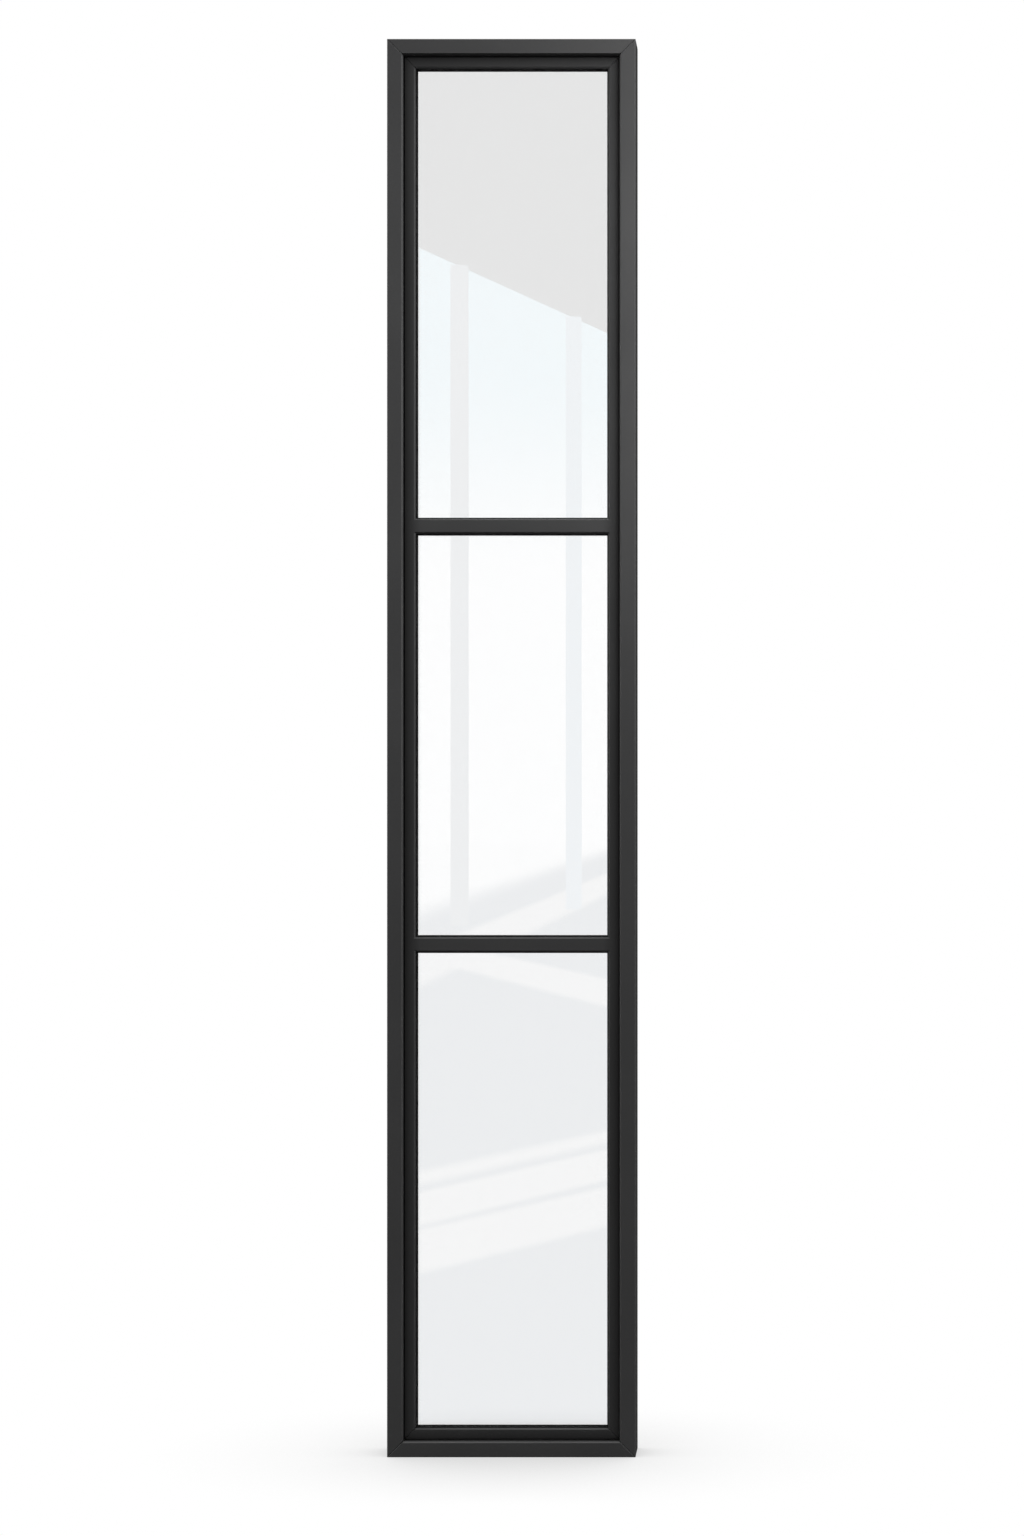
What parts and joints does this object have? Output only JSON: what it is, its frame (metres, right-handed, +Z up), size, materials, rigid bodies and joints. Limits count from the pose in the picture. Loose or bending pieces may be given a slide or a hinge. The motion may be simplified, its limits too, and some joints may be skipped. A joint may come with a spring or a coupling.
{
  "type": "door sidelight",
  "caption": "Tall narrow fixed light for beside a door: slim dark metal frame, set-back mitred sash, cross bars and clear sealed glass, fastened through its jambs.",
  "frame": {"origin": "on the floor, under the middle of the frame", "axes": "+X to the right seen from outside, +Y from the outside to the inside, +Z up"},
  "size_m": [0.356, 0.07, 2.032],
  "materials": {
    "frame_coat": "satin powder coat, near black",
    "sash_coat": "satin powder coat, near black",
    "bead_coat": "satin powder coat, near black",
    "glass": "clear float glass",
    "spacer": "matt black",
    "gasket": "matt black",
    "setting_block": "matt"
  },
  "bodies": {
    "root": {"bead_lower_bottom": "bead_coat", "bead_lower_left": "bead_coat", "bead_lower_right": "bead_coat", "bead_lower_top": "bead_coat", "bead_middle_bottom": "bead_coat", "bead_middle_left": "bead_coat", "bead_middle_right": "bead_coat", "bead_middle_top": "bead_coat", "bead_upper_bottom": "bead_coat", "bead_upper_left": "bead_coat", "bead_upper_right": "bead_coat", "bead_upper_top": "bead_coat", "frame_head": "frame_coat", "frame_left_jamb": "frame_coat", "frame_right_jamb": "frame_coat", "frame_sill": "frame_coat", "glass_spacer_lower": "spacer", "glass_spacer_middle": "spacer", "glass_spacer_upper": "spacer", "inner_gasket_lower": "gasket", "inner_gasket_middle": "gasket", "inner_gasket_upper": "gasket", "inner_glass_lower": "glass", "inner_glass_middle": "glass", "inner_glass_upper": "glass", "lower_bar": "sash_coat", "outer_gasket_lower": "gasket", "outer_gasket_middle": "gasket", "outer_gasket_upper": "gasket", "outer_glass_lower": "glass", "outer_glass_middle": "glass", "outer_glass_upper": "glass", "sash_bottom_rail": "sash_coat", "sash_left_stile": "sash_coat", "sash_right_stile": "sash_coat", "sash_top_rail": "sash_coat", "setting_block_lower_left": "setting_block", "setting_block_lower_right": "setting_block", "setting_block_middle_left": "setting_block", "setting_block_middle_right": "setting_block", "setting_block_upper_left": "setting_block", "setting_block_upper_right": "setting_block", "upper_bar": "sash_coat"}
  },
  "joints": []
}
